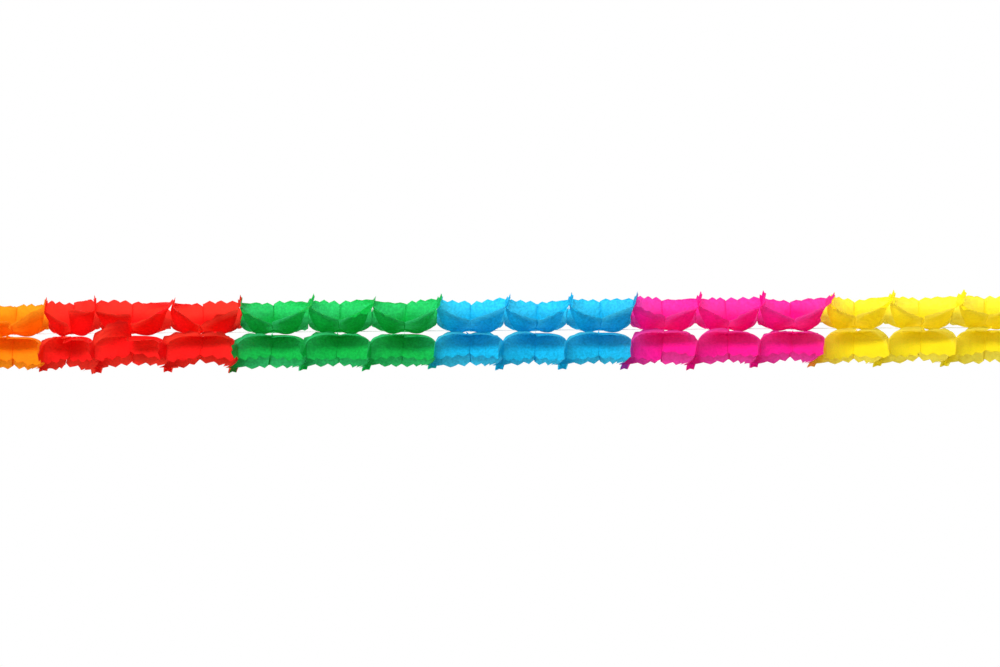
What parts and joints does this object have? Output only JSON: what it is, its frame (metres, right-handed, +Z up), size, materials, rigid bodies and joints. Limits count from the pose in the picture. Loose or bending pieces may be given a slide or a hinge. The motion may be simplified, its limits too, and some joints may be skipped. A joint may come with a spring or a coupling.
{
  "type": "paper garland",
  "caption": "Straight tissue-paper garland of four-petal pinked sheets in colour blocks, glued turn about at petal tips and slits, threaded and looped at both ends.",
  "frame": {"origin": "on the ground below the middle of the garland, at the height of its lower petal tips", "axes": "+X along the thread from the orange end to the yellow end, +Z up"},
  "size_m": [2.0534, 0.1132, 0.1131],
  "materials": {
    "orange_tissue": "matt, thin, lets light through",
    "red_tissue": "matt, thin, lets light through",
    "green_tissue": "matt, thin, lets light through",
    "blue_tissue": "matt, thin, lets light through",
    "pink_tissue": "matt, thin, lets light through",
    "yellow_tissue": "matt, thin, lets light through",
    "end_card": "matt",
    "thread": "matt cotton"
  },
  "bodies": {
    "root": {"orange_sheet_1": "orange_tissue", "orange_sheet_2": "orange_tissue", "orange_sheet_3": "orange_tissue", "orange_sheet_4": "orange_tissue", "orange_sheet_5": "orange_tissue", "orange_sheet_6": "orange_tissue", "red_sheet_1": "red_tissue", "red_sheet_2": "red_tissue", "red_sheet_3": "red_tissue", "red_sheet_4": "red_tissue", "red_sheet_5": "red_tissue", "red_sheet_6": "red_tissue", "green_sheet_1": "green_tissue", "green_sheet_2": "green_tissue", "green_sheet_3": "green_tissue", "green_sheet_4": "green_tissue", "green_sheet_5": "green_tissue", "green_sheet_6": "green_tissue", "blue_sheet_1": "blue_tissue", "blue_sheet_2": "blue_tissue", "blue_sheet_3": "blue_tissue", "blue_sheet_4": "blue_tissue", "blue_sheet_5": "blue_tissue", "blue_sheet_6": "blue_tissue", "pink_sheet_1": "pink_tissue", "pink_sheet_2": "pink_tissue", "pink_sheet_3": "pink_tissue", "pink_sheet_4": "pink_tissue", "pink_sheet_5": "pink_tissue", "pink_sheet_6": "pink_tissue", "yellow_sheet_1": "yellow_tissue", "yellow_sheet_2": "yellow_tissue", "yellow_sheet_3": "yellow_tissue", "yellow_sheet_4": "yellow_tissue", "yellow_sheet_5": "yellow_tissue", "yellow_sheet_6": "yellow_tissue", "left_end_card": "end_card", "right_end_card": "end_card", "hanging_thread": "thread"}
  },
  "joints": []
}
